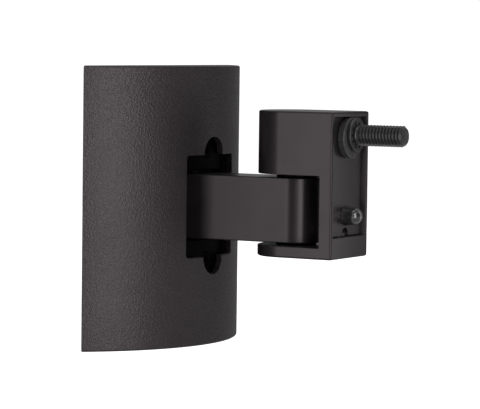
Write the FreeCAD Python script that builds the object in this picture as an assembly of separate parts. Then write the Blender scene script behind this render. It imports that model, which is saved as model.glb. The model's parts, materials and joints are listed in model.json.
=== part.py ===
import FreeCAD, Part
import math
import os

# Speaker wall bracket: a curved wall cover over a steel plate, a pivot block, an arm that
# swivels on a pin, and a head that swivels on the arm and carries the speaker's screw.
# Millimetres. The origin is the middle of the wall face, +X comes out of the wall along
# the arm, and +Z is up. Z 0 is the middle plane of the arm.

# Wall cover
cover_width = 80.0
cover_height = 80.0
cover_rise = 19.0
cover_wall = 2.0
cover_edge_chamfer = 0.5
window_width = 25.2
window_height = 29.2
window_corner = 1.0
lobe_radius = 5.2
rib_thickness = 1.4
rib_depth = 1.5
rib_from_middle = 19.0
hook_width = 12.0
hook_from_middle = 15.0
hook_catch = 1.4
hook_thickness = 1.2

# Wall plate
plate_thickness = 2.5
plate_corner = 4.0
plate_end_play = 1.0
plate_side_play = 0.5
lip_width = 57.0
lip_height = 4.0
lip_step = 1.6
wall_hole_radius = 2.5
wall_hole_across = 44.0
wall_hole_up = 50.0

# Pivot block
block_width = 21.0
block_height = 42.0
block_web = 1.2
block_corner = 2.0
block_screw_radius = 2.0
block_screw_head_radius = 3.8
block_screw_bite = 5.0

# Arm and its wall pivot
arm_reach = 34.9
arm_thickness = 14.0
arm_height = 18.4
arm_edge_chamfer = 0.35
upper_washer = 0.95
lower_washer = 0.55
washer_radius = 5.75
pivot_pin_radius = 3.0
lock_screw_radius = 2.0
lock_screw_key = 2.0
lock_screw_key_depth = 1.2

# Head
head_width = 22.0
head_front = 16.9
head_top = 28.0
head_bottom = -13.0
head_spine = 4.0
head_edge_round = 0.6
head_edge_chamfer = 0.4
rim_thickness = 1.7
rim_top = 1.5
ledge_top = -6.9
pocket_depth = 1.4
insert_thickness = 1.0
arch_width = 3.7
arch_height = 2.4

# Head pivot
head_screw_radius = 2.5
head_screw_head_radius = 4.8
head_screw_bite = 4.8
head_screw_key = 3.0
head_screw_key_depth = 1.4
bush_wall = 1.3
bush_length = 6.0

# Speaker screw and what holds it
speaker_screw_drop = 6.5
speaker_screw_radius = 3.0
speaker_screw_shank_radius = 2.65
speaker_screw_reach = 16.9
speaker_screw_head_radius = 5.0
speaker_screw_head_length = 6.0
speaker_screw_head_inset = 1.9
speaker_screw_key = 5.0
speaker_screw_key_depth = 3.0
speaker_screw_chamfer = 0.6
spring_washer_thickness = 1.2
spring_washer_radius = 4.8
spring_washer_split = 1.0
spacer_radius = 5.7
spacer_height = 2.4
spacer_edge = 0.35
tooth_ring_radius = 4.65
tooth_ring_wall = 0.95
tooth_ring_height = 1.2
tooth_count = 10
tooth_width = 1.3
tooth_thickness = 0.5

# Locating pin
locator_up = -1.1
locator_radius = 2.85
locator_tip_radius = 2.4
locator_reach = 3.65
locator_stem_radius = 1.5
pin_nut_across = 5.5
pin_nut_thickness = 2.2

# Clearances, and how far a cut runs past a face
cut_past = 1.0
cover_play = 0.6
swing_play = 0.5
face_play = 0.1
jaw_play = 0.05
screw_play = 0.05
running_play = 0.06
through_play = 0.3
press_play = 0.02
insert_play = 0.1
snap_play = 0.3

# Places that follow from the sizes above
cover_radius = (cover_width ** 2 / 4 + cover_rise ** 2) / (2 * cover_rise)
cover_centre_x = cover_rise - cover_radius
plate_height = cover_height - 2 * (cover_wall + plate_end_play)
plate_hollow = math.sqrt((cover_radius - cover_wall) ** 2 - (plate_thickness - cover_centre_x) ** 2)
plate_width = 2 * (plate_hollow - plate_side_play)
block_round = cover_radius - cover_wall - cover_play
block_reach = cover_centre_x + block_round
upper_jaw = arm_height / 2 + upper_washer + jaw_play
lower_jaw = -arm_height / 2 - lower_washer - jaw_play
upper_jaw_middle = (upper_jaw + block_height / 2) / 2
lower_jaw_middle = (lower_jaw - block_height / 2) / 2
wall_pivot_x = plate_thickness + block_web + swing_play + arm_thickness / 2
head_pivot_x = wall_pivot_x + arm_reach
head_front_x = head_pivot_x + head_front
spine_x = head_front_x - head_spine
pocket_floor_x = head_front_x - pocket_depth
web_front_x = pocket_floor_x - insert_thickness
pocket_top = head_top - rim_top
pocket_half_width = head_width / 2 - rim_thickness
bush_outer_radius = head_screw_radius + running_play + bush_wall
speaker_screw_up = head_top - speaker_screw_drop
spacer_up = pocket_top - insert_play - spacer_radius
spacer_front_x = pocket_floor_x + spacer_height
ring_front_x = spacer_front_x + face_play + tooth_ring_height
screw_head_x = head_pivot_x - head_width / 2 + speaker_screw_head_inset
screw_seat_x = screw_head_x + speaker_screw_head_length + spring_washer_thickness
screw_tip_x = head_front_x + speaker_screw_reach
screw_hole_radius = speaker_screw_radius + through_play


def vec(x, y, z):
    return FreeCAD.Vector(x, y, z)


AXIS_X = vec(1, 0, 0)
AXIS_Z = vec(0, 0, 1)


def block(x0, x1, y0, y1, z0, z1):
    """Box between two corners."""
    return Part.makeBox(x1 - x0, y1 - y0, z1 - z0, vec(x0, y0, z0))


def rod_x(x0, x1, y, z, radius):
    """Cylinder along X."""
    return Part.makeCylinder(radius, x1 - x0, vec(x0, y, z), AXIS_X)


def rod_z(x, y, z0, z1, radius):
    """Cylinder along Z."""
    return Part.makeCylinder(radius, z1 - z0, vec(x, y, z0), AXIS_Z)


def cone_x(x0, x1, y, z, radius0, radius1):
    """Cone along X from one radius to another."""
    return Part.makeCone(radius0, radius1, x1 - x0, vec(x0, y, z), AXIS_X)


def cone_z(x, y, z0, z1, radius0, radius1):
    """Cone along Z from one radius to another."""
    return Part.makeCone(radius0, radius1, z1 - z0, vec(x, y, z0), AXIS_Z)


def prism(points, direction):
    """Closed outline of straight sides, swept along a direction."""
    outline = Part.makePolygon(points + points[:1])
    return Part.Face(outline).extrude(direction)


def hexagon_x(x0, x1, y, z, across):
    """Hexagonal bar along X, given its width across the flats."""
    corner = across / math.sqrt(3)
    points = []
    for step in range(6):
        turn = math.radians(60 * step)
        points.append(vec(x0, y + corner * math.cos(turn), z + corner * math.sin(turn)))
    return prism(points, vec(x1 - x0, 0, 0))


def hexagon_z(x, y, z0, z1, across):
    """Hexagonal bar along Z, given its width across the flats."""
    corner = across / math.sqrt(3)
    points = []
    for step in range(6):
        turn = math.radians(60 * step)
        points.append(vec(x + corner * math.cos(turn), y + corner * math.sin(turn), z0))
    return prism(points, vec(0, 0, z1 - z0))


def profile_turned_x(points, y, z):
    """Solid of revolution about an axis along X: points are (x, radius), axis to axis."""
    outline = [vec(x, y, z + radius) for x, radius in points]
    face = Part.Face(Part.makePolygon(outline + outline[:1]))
    return face.revolve(vec(0, y, z), AXIS_X, 360)


def edges_at_z(solid, level):
    """Edges that lie flat at one height."""
    found = []
    for edge in solid.Edges:
        box = edge.BoundBox
        if abs(box.ZMin - level) < 1e-4 and abs(box.ZMax - level) < 1e-4:
            found.append(edge)
    return found


def upright_edges_beyond(solid, level):
    """Straight upright edges further from the wall than one distance."""
    found = []
    for edge in solid.Edges:
        box = edge.BoundBox
        upright = box.ZLength > 1e-3 and box.YLength < 1e-4 and box.XLength < 1e-4
        if upright and box.XMin > level:
            found.append(edge)
    return found


def both_ways(value):
    """A distance to each side of the middle."""
    return (-value, value)


def wall_cover():
    """Curved moulded cover with closed ends, a lobed window for the arm, and snap hooks."""
    half_height = cover_height / 2
    body = rod_z(cover_centre_x, 0, -half_height, half_height, cover_radius)
    body = body.common(block(0, cover_rise + cut_past, -cover_width, cover_width,
                             -half_height, half_height))
    curved = [edge for edge in edges_at_z(body, half_height) + edges_at_z(body, -half_height)
              if edge.BoundBox.XLength > cover_wall]
    body = body.makeChamfer(cover_edge_chamfer, curved)
    inner_half_height = half_height - cover_wall
    inner = rod_z(cover_centre_x, 0, -inner_half_height, inner_half_height, cover_radius - cover_wall)
    body = body.cut(inner)
    for side in both_ways(rib_from_middle):
        body = body.fuse(cover_rib(side))
    for end in (-1, 1):
        for side in both_ways(hook_from_middle):
            body = body.fuse(cover_hook(side, end))
    return body.cut(cover_window()).removeSplitter()


def cover_rib(side):
    """Low upright rib inside the cover."""
    half = rib_thickness / 2
    half_height = cover_height / 2 - cover_wall / 2
    shell = rod_z(cover_centre_x, 0, -half_height, half_height, cover_radius - cover_wall / 2)
    shell = shell.cut(rod_z(cover_centre_x, 0, -half_height, half_height,
                            cover_radius - cover_wall - rib_depth))
    strip = block(0, cover_rise, side - half, side + half, -half_height, half_height)
    return shell.common(strip)


def cover_hook(side, end):
    """Snap hook on the inside of an end wall, behind the lip of the wall plate."""
    root = end * (cover_height / 2 - cover_wall / 2)
    tip = end * (plate_height / 2 - hook_catch)
    back = lip_step - snap_play
    front = back - hook_thickness
    points = [vec(front, side - hook_width / 2, root),
              vec(back, side - hook_width / 2, root),
              vec(back, side - hook_width / 2, tip),
              vec((front + back) / 2, side - hook_width / 2, tip),
              vec(front, side - hook_width / 2, tip + end * hook_catch)]
    return prism(points, vec(0, hook_width, 0))


def cover_window():
    """Square window with a half-round lobe above and below it."""
    front = cover_rise + cut_past
    half_width = window_width / 2
    half_height = window_height / 2
    square = block(0, front, -half_width, half_width, -half_height, half_height)
    corners = [edge for edge in square.Edges if edge.BoundBox.XLength > cover_rise]
    square = square.makeFillet(window_corner, corners)
    for level in both_ways(half_height):
        square = square.fuse(rod_x(0, front, 0, level, lobe_radius))
    return square


def wall_plate():
    """Pressed steel plate: flat on the wall, with a raised lip along its top and bottom."""
    half_width = plate_width / 2
    flat = plate_height / 2 - lip_height - lip_step
    body = block(0, plate_thickness, -half_width, half_width, -flat, flat)
    corners = [edge for edge in body.Edges if edge.BoundBox.XLength > plate_thickness / 2]
    body = body.makeFillet(plate_corner, corners)
    body = body.fuse(plate_lips()).removeSplitter()
    for y in both_ways(wall_hole_across / 2):
        for z in both_ways(wall_hole_up / 2):
            body = body.cut(rod_x(-cut_past, plate_thickness + cut_past, y, z, wall_hole_radius))
    for level in (lower_jaw_middle, upper_jaw_middle):
        hole = rod_x(-cut_past, plate_thickness + cut_past, 0, level, block_screw_radius + screw_play)
        sink = cone_x(0, block_screw_head_radius - block_screw_radius, 0, level,
                      block_screw_head_radius + screw_play, block_screw_radius + screw_play)
        body = body.cut(hole.fuse(sink))
    return body


def plate_lips():
    """Middle strip of the plate, stepped forward at its top and bottom edges."""
    half_height = plate_height / 2
    flat = half_height - lip_height - lip_step
    upper = [(0, flat), (lip_step, half_height - lip_height), (lip_step, half_height)]
    front = [(x + plate_thickness, z) for x, z in reversed(upper)]
    side = upper + front
    below = [(x, -z) for x, z in reversed(side)]
    points = [vec(x, -lip_width / 2, z) for x, z in side + below]
    return prism(points, vec(0, lip_width, 0))


def pivot_block():
    """Cast block with two jaws that hold the pivot pin of the arm."""
    half_width = block_width / 2
    half_height = block_height / 2
    body = block(plate_thickness, cover_rise, -half_width, half_width, -half_height, half_height)
    body = body.common(rod_z(cover_centre_x, 0, -half_height, half_height, block_round))
    body = body.makeFillet(block_corner, upright_edges_beyond(body, wall_pivot_x))
    slot_back = plate_thickness + block_web
    body = body.cut(block(slot_back, cover_rise, -half_width - cut_past, half_width + cut_past,
                          lower_jaw, upper_jaw))
    body = body.cut(rod_z(wall_pivot_x, 0, -half_height - cut_past, half_height + cut_past,
                          pivot_pin_radius + running_play))
    for level in (lower_jaw_middle, upper_jaw_middle):
        body = body.cut(rod_x(wall_pivot_x, cover_rise, 0, level,
                              lock_screw_radius + screw_play))
    tip = plate_thickness + block_screw_bite + through_play
    for level in (lower_jaw_middle, upper_jaw_middle):
        body = body.cut(rod_x(plate_thickness - cut_past, tip, 0, level,
                              block_screw_radius + screw_play))
    return body


def block_screws():
    """Two countersunk screws, from behind the plate into the pivot block."""
    screws = []
    for level in (lower_jaw_middle, upper_jaw_middle):
        head = cone_x(0, block_screw_head_radius - block_screw_radius, 0, level,
                      block_screw_head_radius, block_screw_radius)
        shank = rod_x(0, plate_thickness + block_screw_bite, 0, level, block_screw_radius)
        screws.append(head.fuse(shank).removeSplitter())
    return Part.makeCompound(screws)


def lock_screws():
    """Two socket screws behind the lobes of the window, which lock the pivot pin."""
    screws = []
    tip = wall_pivot_x + pivot_pin_radius + face_play
    for level in (lower_jaw_middle, upper_jaw_middle):
        body = rod_x(tip, block_reach, 0, level, lock_screw_radius)
        socket = hexagon_x(block_reach - lock_screw_key_depth, block_reach + cut_past, 0, level,
                           lock_screw_key)
        screws.append(body.cut(socket))
    return Part.makeCompound(screws)


def wall_pivot_pin():
    """Steel pin pressed into the arm, which turns in the pivot block."""
    half = block_height / 2 - face_play
    return rod_z(wall_pivot_x, 0, -half, half, pivot_pin_radius)


def thrust_washer(side):
    """Flat washer between the arm and one jaw of the pivot block."""
    low = arm_height / 2 if side > 0 else -arm_height / 2 - lower_washer
    high = arm_height / 2 + upper_washer if side > 0 else -arm_height / 2
    body = rod_z(wall_pivot_x, 0, low, high, washer_radius)
    bore = rod_z(wall_pivot_x, 0, low - cut_past, high + cut_past, pivot_pin_radius + running_play)
    return body.cut(bore)


def arm():
    """Solid arm with a full round at each pivot."""
    half = arm_height / 2
    radius = arm_thickness / 2
    bar = block(wall_pivot_x, head_pivot_x, -radius, radius, -half, half)
    bar = bar.fuse(rod_z(wall_pivot_x, 0, -half, half, radius))
    bar = bar.fuse(rod_z(head_pivot_x, 0, -half, half, radius)).removeSplitter()
    bar = bar.makeChamfer(arm_edge_chamfer, edges_at_z(bar, half) + edges_at_z(bar, -half))
    low = -half - cut_past
    high = half + cut_past
    bar = bar.cut(rod_z(wall_pivot_x, 0, low, high, pivot_pin_radius + press_play))
    return bar.cut(rod_z(head_pivot_x, 0, low, high, bush_outer_radius + press_play))


def head_bush(side):
    """Flanged bush in the arm's head end: its flange is the washer under one jaw."""
    face = side * arm_height / 2
    inward = -side * bush_length
    outward = upper_washer if side > 0 else -lower_washer
    sleeve = rod_z(head_pivot_x, 0, min(face, face + inward), max(face, face + inward),
                   bush_outer_radius)
    flange = rod_z(head_pivot_x, 0, min(face, face + outward), max(face, face + outward),
                   washer_radius)
    bore = rod_z(head_pivot_x, 0, -arm_height, arm_height, head_screw_radius + running_play)
    return sleeve.fuse(flange).cut(bore).removeSplitter()


def head_housing():
    """Cast head: round back, notch for the arm, and a rimmed pocket in its front."""
    half_width = head_width / 2
    body = rod_z(head_pivot_x, 0, head_bottom, head_top, half_width)
    body = body.fuse(block(head_pivot_x, head_front_x, -half_width, half_width,
                           head_bottom, head_top)).removeSplitter()
    body = body.makeFillet(head_edge_round, upright_edges_beyond(body, spine_x))
    body = body.makeChamfer(head_edge_chamfer,
                            edges_at_z(body, head_top) + edges_at_z(body, head_bottom))
    body = body.cut(block(head_pivot_x - head_width, spine_x, -head_width, head_width,
                          lower_jaw, upper_jaw))
    body = body.cut(block(web_front_x, head_front_x + cut_past, -pocket_half_width, pocket_half_width,
                          ledge_top, pocket_top))
    body = body.cut(head_pivot_hole())
    body = body.cut(speaker_screw_hole())
    body = body.cut(rod_x(spine_x - cut_past, web_front_x + cut_past, 0, locator_up,
                          locator_stem_radius + screw_play))
    return body.cut(insert_arch(spine_x - cut_past, web_front_x + cut_past))


def head_pivot_hole():
    """Countersunk hole through the lower jaw and blind hole in the upper jaw."""
    radius = head_screw_radius + screw_play
    sink_height = head_screw_head_radius - head_screw_radius
    sink = cone_z(head_pivot_x, 0, head_bottom, head_bottom + sink_height,
                  head_screw_head_radius + screw_play, radius)
    top = upper_jaw + head_screw_bite + through_play
    hole = rod_z(head_pivot_x, 0, head_bottom, top, radius)
    return hole.fuse(sink)


def speaker_screw_hole():
    """Stepped hole for the speaker screw: its head sits in the round back of the head."""
    head = rod_x(screw_head_x - head_width, screw_seat_x, 0, speaker_screw_up,
                 speaker_screw_head_radius + through_play)
    shank = rod_x(screw_seat_x - cut_past, head_front_x, 0, speaker_screw_up, screw_hole_radius)
    return head.fuse(shank)


def insert_arch(back, front):
    """Small arch at the foot of the front insert."""
    half = arch_width / 2
    top = ledge_top + arch_height - half
    arch = block(back, front, -half, half, ledge_top, top)
    return arch.fuse(rod_x(back, front, 0, top, half))


def front_insert():
    """Thin plate on the floor of the head's pocket."""
    half_width = pocket_half_width - insert_play
    body = block(web_front_x, pocket_floor_x, -half_width, half_width,
                 ledge_top + insert_play, pocket_top - insert_play)
    body = body.cut(rod_x(web_front_x - cut_past, pocket_floor_x + cut_past, 0, speaker_screw_up,
                          screw_hole_radius))
    body = body.cut(rod_x(web_front_x - cut_past, pocket_floor_x + cut_past, 0, locator_up,
                          locator_stem_radius + screw_play))
    return body.cut(insert_arch(web_front_x - cut_past, pocket_floor_x + cut_past))


def head_pivot_screw():
    """Countersunk socket screw, from below through the arm into the upper jaw."""
    sink_height = head_screw_head_radius - head_screw_radius
    head = cone_z(head_pivot_x, 0, head_bottom, head_bottom + sink_height,
                  head_screw_head_radius, head_screw_radius)
    shank = rod_z(head_pivot_x, 0, head_bottom, upper_jaw + head_screw_bite, head_screw_radius)
    socket = hexagon_z(head_pivot_x, 0, head_bottom - cut_past, head_bottom + head_screw_key_depth,
                       head_screw_key)
    return head.fuse(shank).removeSplitter().cut(socket)


def speaker_screw():
    """Socket screw that is turned from behind and screws into the speaker."""
    thread_radius = speaker_screw_radius
    head_end = screw_head_x + speaker_screw_head_length
    points = [(screw_head_x, 0),
              (screw_head_x, speaker_screw_head_radius),
              (head_end, speaker_screw_head_radius),
              (head_end, speaker_screw_shank_radius),
              (ring_front_x, speaker_screw_shank_radius),
              (ring_front_x, thread_radius),
              (screw_tip_x - speaker_screw_chamfer, thread_radius),
              (screw_tip_x, thread_radius - speaker_screw_chamfer),
              (screw_tip_x, 0)]
    body = profile_turned_x(points, 0, speaker_screw_up)
    socket = hexagon_x(screw_head_x - cut_past, screw_head_x + speaker_screw_key_depth, 0,
                       speaker_screw_up, speaker_screw_key)
    return body.cut(socket)


def spring_washer():
    """Split washer under the head of the speaker screw."""
    back = screw_seat_x - spring_washer_thickness
    body = rod_x(back, screw_seat_x, 0, speaker_screw_up, spring_washer_radius)
    body = body.cut(rod_x(back - cut_past, screw_seat_x + cut_past, 0, speaker_screw_up,
                          speaker_screw_radius + running_play))
    half_split = spring_washer_split / 2
    split = block(back - cut_past, screw_seat_x + cut_past, -half_split, half_split,
                  speaker_screw_up, speaker_screw_up + 2 * spring_washer_radius)
    return body.cut(split)


def stud_spacer():
    """Round spacer that the speaker bears on, hung from the rim, with an offset bore."""
    points = [(pocket_floor_x, 0),
              (pocket_floor_x, spacer_radius),
              (spacer_front_x - spacer_edge, spacer_radius),
              (spacer_front_x, spacer_radius - spacer_edge),
              (spacer_front_x, 0)]
    body = profile_turned_x(points, 0, spacer_up)
    return body.cut(rod_x(pocket_floor_x - cut_past, spacer_front_x + cut_past, 0, speaker_screw_up,
                          screw_hole_radius))


def tooth_ring():
    """Push-on ring whose inner teeth grip the screw and keep it in the head."""
    back = spacer_front_x + face_play
    front = ring_front_x
    inner = tooth_ring_radius - tooth_ring_wall
    body = rod_x(back, front, 0, speaker_screw_up, tooth_ring_radius)
    body = body.cut(rod_x(back - cut_past, front + cut_past, 0, speaker_screw_up, inner))
    bore = rod_x(back - cut_past, front + cut_past, 0, speaker_screw_up,
                 speaker_screw_shank_radius + press_play)
    for number in range(tooth_count):
        tooth = block(front - tooth_thickness, front, -tooth_width / 2, tooth_width / 2,
                      speaker_screw_up, speaker_screw_up + inner + tooth_ring_wall / 2)
        tooth.rotate(vec(0, 0, speaker_screw_up), AXIS_X, 360 * number / tooth_count)
        body = body.fuse(tooth.cut(bore))
    return body.removeSplitter()


def locating_pin():
    """Pin with a domed nose that stops the speaker from turning, on a threaded stem."""
    tip_x = head_front_x + locator_reach
    dome_x = tip_x - locator_tip_radius
    slope = math.atan2(locator_radius - locator_tip_radius, dome_x - pocket_floor_x)
    touch_x = dome_x + locator_tip_radius * math.sin(slope)
    touch_radius = locator_tip_radius * math.cos(slope)
    middle = math.pi / 4 + slope / 2
    through = vec(dome_x + locator_tip_radius * math.sin(middle), 0,
                  locator_up + locator_tip_radius * math.cos(middle))
    start = vec(touch_x, 0, locator_up + touch_radius)
    tip = vec(tip_x, 0, locator_up)
    base = vec(pocket_floor_x, 0, locator_up + locator_radius)
    foot = vec(pocket_floor_x, 0, locator_up)
    outline = Part.Wire([Part.LineSegment(foot, base).toShape(),
                         Part.LineSegment(base, start).toShape(),
                         Part.Arc(start, through, tip).toShape(),
                         Part.LineSegment(tip, foot).toShape()])
    nose = Part.Face(outline).revolve(foot, AXIS_X, 360)
    stem = rod_x(spine_x - pin_nut_thickness, pocket_floor_x, 0, locator_up, locator_stem_radius)
    return nose.fuse(stem)


def pin_nut():
    """Nut of the locating pin, behind the web of the head."""
    back = spine_x - pin_nut_thickness
    body = hexagon_x(back, spine_x, 0, locator_up, pin_nut_across)
    bore = rod_x(back - cut_past, spine_x + cut_past, 0, locator_up, locator_stem_radius + screw_play)
    return body.cut(bore)


def build():
    """Write each piece to its own file."""
    pieces = {
        "wall_cover": wall_cover(),
        "wall_plate": wall_plate(),
        "pivot_block": pivot_block(),
        "block_screws": block_screws(),
        "lock_screws": lock_screws(),
        "wall_pivot_pin": wall_pivot_pin(),
        "wall_upper_washer": thrust_washer(1),
        "wall_lower_washer": thrust_washer(-1),
        "arm": arm(),
        "head_upper_bush": head_bush(1),
        "head_lower_bush": head_bush(-1),
        "head_housing": head_housing(),
        "head_pivot_screw": head_pivot_screw(),
        "front_insert": front_insert(),
        "stud_spacer": stud_spacer(),
        "tooth_ring": tooth_ring(),
        "speaker_screw": speaker_screw(),
        "spring_washer": spring_washer(),
        "locating_pin": locating_pin(),
        "pin_nut": pin_nut(),
    }
    os.makedirs("parts", exist_ok=True)
    for name, shape in pieces.items():
        shape.exportStep(os.path.join("parts", name + ".step"))
        box = shape.BoundBox
        print(name, shape.isValid(), len(shape.Solids), round(shape.Volume, 1),
              round(box.XMin, 2), round(box.XMax, 2), round(box.ZMin, 2), round(box.ZMax, 2))


build()
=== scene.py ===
import json
import math

import bmesh
import bpy
from bpy.props import FloatProperty, FloatVectorProperty, IntProperty, PointerProperty
from mathutils import Matrix, Vector


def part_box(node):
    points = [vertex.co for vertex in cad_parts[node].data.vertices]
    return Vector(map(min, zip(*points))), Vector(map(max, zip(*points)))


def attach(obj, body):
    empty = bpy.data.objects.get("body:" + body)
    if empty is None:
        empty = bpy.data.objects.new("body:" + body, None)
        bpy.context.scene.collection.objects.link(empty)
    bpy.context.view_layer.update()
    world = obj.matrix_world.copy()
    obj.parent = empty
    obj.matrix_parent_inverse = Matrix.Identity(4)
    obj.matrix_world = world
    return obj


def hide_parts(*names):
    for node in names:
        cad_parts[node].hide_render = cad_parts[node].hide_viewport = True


bl_info = {
    "name": "Speaker wall bracket",
    "version": (1, 0, 0),
    "blender": (4, 5, 0),
    "location": "3D View > Sidebar > Bracket",
    "description": "Builds a swivelling speaker wall bracket, its finishes and a plain studio",
    "category": "Add Mesh",
}

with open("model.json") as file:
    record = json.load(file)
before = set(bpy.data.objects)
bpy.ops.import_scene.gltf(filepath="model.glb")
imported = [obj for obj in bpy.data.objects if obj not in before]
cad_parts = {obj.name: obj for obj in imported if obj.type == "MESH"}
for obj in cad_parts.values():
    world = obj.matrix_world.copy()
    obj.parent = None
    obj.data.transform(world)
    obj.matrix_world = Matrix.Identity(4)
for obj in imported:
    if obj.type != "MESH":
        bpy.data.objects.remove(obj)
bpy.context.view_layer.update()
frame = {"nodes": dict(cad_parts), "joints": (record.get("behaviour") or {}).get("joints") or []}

# The frame's own places: the two pivots and the speaker screw.
JOINTS = {joint["name"]: joint for joint in frame["joints"]}
WALL_PIVOT = Vector(JOINTS["arm_swivel"]["pos_m"])
HEAD_PIVOT = Vector(JOINTS["head_swivel"]["pos_m"])
SCREW_AXIS = Vector(JOINTS["screw_turn"]["pos_m"])

MM = 0.001
FULL_TURN = 2 * math.pi
QUARTER_TURN = math.pi / 2

# How far cutters reach past a face, and the play between pieces.
CUT_PAST = 1.0 * MM
WIDE_CUT = 5 * CUT_PAST
RUNNING_PLAY = 0.06 * MM
SCREW_PLAY = 0.05 * MM
SEAT_GAP = 0.01 * MM
HEAD_HOLE_PLAY = 0.3 * MM
ARCH_FOOT = 0.25 * MM

# Widths of broken edges, and radii of softened corners.
COVER_BREAK = 0.22 * MM
HEAD_BREAK = 0.22 * MM
BLOCK_BREAK = 0.3 * MM
PLATE_BREAK = 0.15 * MM
SPACER_BREAK = 0.12 * MM
POCKET_CORNER = 0.3 * MM
WASHER_CORNER = 0.12 * MM
SCREW_CORNER = 0.15 * MM
SPACER_CORNER = 0.2 * MM
RING_CORNER = 0.25 * MM

# Small forms of the screws, the teeth and the pin.
BLOCK_SCREW_EDGE = 0.1 * MM
BLOCK_KEY = 2.5 * MM
BLOCK_KEY_DEPTH = 1.3 * MM
LOCK_POINT = 0.4 * MM
LOCK_RIM = 0.35 * MM
LOCK_KEY_DEPTH = 1.2 * MM
PIVOT_CHAMFER = 0.15 * MM
PIVOT_RIM = 0.1 * MM
PIVOT_POINT = 0.4 * MM
PIVOT_KEY_DEPTH = 1.4 * MM
TOOTH_GAP = 0.02 * MM
TOOTH_SINK = 0.05 * MM
TOOTH_SLOPE = 0.25 * MM
TOOTH_THICKNESS = 0.4 * MM
TOOTH_TAPER = 0.85
PIN_EDGE = 0.1 * MM

# The notch's corners grow round within this many radii of its mouth.
NOTCH_BLEND = 4

# Shares of a pitch that the thread's crest, each flank and the root take.
THREAD_SHARES = (0.10, 0.33, 0.24)

# Steps round a circle, a lobe and a window corner, rows in a turn of thread, and the dome's turn and steps.
ROUND_STEPS = 96
LOBE_STEPS = 24
CORNER_STEPS = 4
ROWS_PER_TURN = 20
DOME_TURN = (0.06, QUARTER_TURN - 0.02, 20)

# Mesh work: the share of a run that a corner may take, how near points are one point, and sharp angles.
LARGEST_SHARE = 0.48
NEW_POINT_GAP = 0.0005 * MM
CUT_POINT_GAP = 0.002 * MM
SHARP_ANGLE = math.radians(35)
STEEP_ANGLE = math.radians(50)

# Sheen, dust colours and relief of the finishes.
WARM_SHEEN = (1.0, 0.88, 0.91, 1.0)
COVER_DUST = (0.30, 0.28, 0.27)
PAINT_DUST = (0.28, 0.26, 0.25)
PAINT_RELIEF = 0.004 * MM

# Studio: white, its brightness as the camera sees it, and what floor, sides and sky give as lights.
WHITE = (1.0, 1.0, 1.0, 1.0)
SEEN_BRIGHTNESS = 1.1
FLOOR_GLOW = 0.06
FLOOR_HALF = 6.0
AMBIENT = 0.045
OVERHEAD = 0.5
BACKDROP_WAY = (-0.5, 0.866, 0.0)

# Points along the arm that the soft panels face.
ARM_MIDDLE = 0.035
HEAD_MIDDLE = 0.063


def length(label, text, millimetres):
    """A length that the user can change."""
    return FloatProperty(name=label, description=text, default=millimetres * MM, min=0.0,
                         precision=5, unit="LENGTH")


def shade(label, text, colour):
    """A colour that the user can change."""
    return FloatVectorProperty(name=label, description=text, default=colour, min=0.0, max=1.0,
                               size=3, subtype="COLOR")


def brightness(label, light, value):
    """A light's brightness that the user can change."""
    return FloatProperty(name=label, description=f"Brightness of the {light}", default=value, min=0.0)


class CoverSettings(bpy.types.PropertyGroup):
    """Sizes and finish of the moulded wall cover."""
    wall: length("Wall", "Thickness of the moulded wall", 2.0)
    edge_round: length("Edge round", "Rounding of the upper and lower edge", 0.6)
    window_width: length("Window width", "Width of the window for the arm", 25.2)
    window_height: length("Window height", "Height of the window without its lobes", 29.2)
    window_corner: length("Window corner", "Corner radius of the window", 1.0)
    lobe_radius: length("Lobe radius", "Radius of the lobes above and below the window", 5.2)
    rib_place: length("Rib place", "Distance of each inner rib from the middle", 19.0)
    rib_thickness: length("Rib thickness", "Thickness of the inner ribs", 1.4)
    rib_depth: length("Rib depth", "How far the inner ribs stand in", 1.5)
    hook_place: length("Hook place", "Distance of each snap hook from the middle", 15.0)
    hook_width: length("Hook width", "Width of each snap hook", 12.0)
    hook_reach: length("Hook reach", "How far the hooks stand in from the end wall", 2.4)
    hook_thickness: length("Hook thickness", "Thickness of the snap hooks", 1.2)
    hook_lead: length("Hook lead", "Length of the sloped lead of each hook", 1.4)
    hook_play: length("Hook play", "Play between a hook and the plate's lip", 0.3)
    colour: shade("Colour", "Colour of the moulded plastic", (0.0164, 0.0141, 0.0146))
    grain_size: length("Grain size", "Size of the pebbles of the grain", 0.56)
    grain_depth: length("Grain depth", "Depth of the moulded grain", 0.062)


class PlateSettings(bpy.types.PropertyGroup):
    """Sizes and finish of the steel plate behind the cover."""
    thickness: length("Thickness", "Thickness of the steel", 2.5)
    corner: length("Corner", "Corner radius of the plate", 4.0)
    lip_height: length("Lip height", "Height of the raised lips", 4.0)
    lip_step: length("Lip step", "How far the lips stand off the wall", 1.6)
    wall_hole_radius: length("Wall hole radius", "Radius of the wall screw holes", 2.5)
    lip_width: length("Lip width", "Width of the raised lips", 57.0)
    wall_hole_across: length("Wall holes across", "Distance of the wall holes across the plate", 44.0)
    wall_hole_up: length("Wall holes up", "Distance of the wall holes up the plate", 50.0)
    colour: shade("Colour", "Colour of the zinc plating", (0.42, 0.42, 0.43))


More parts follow.
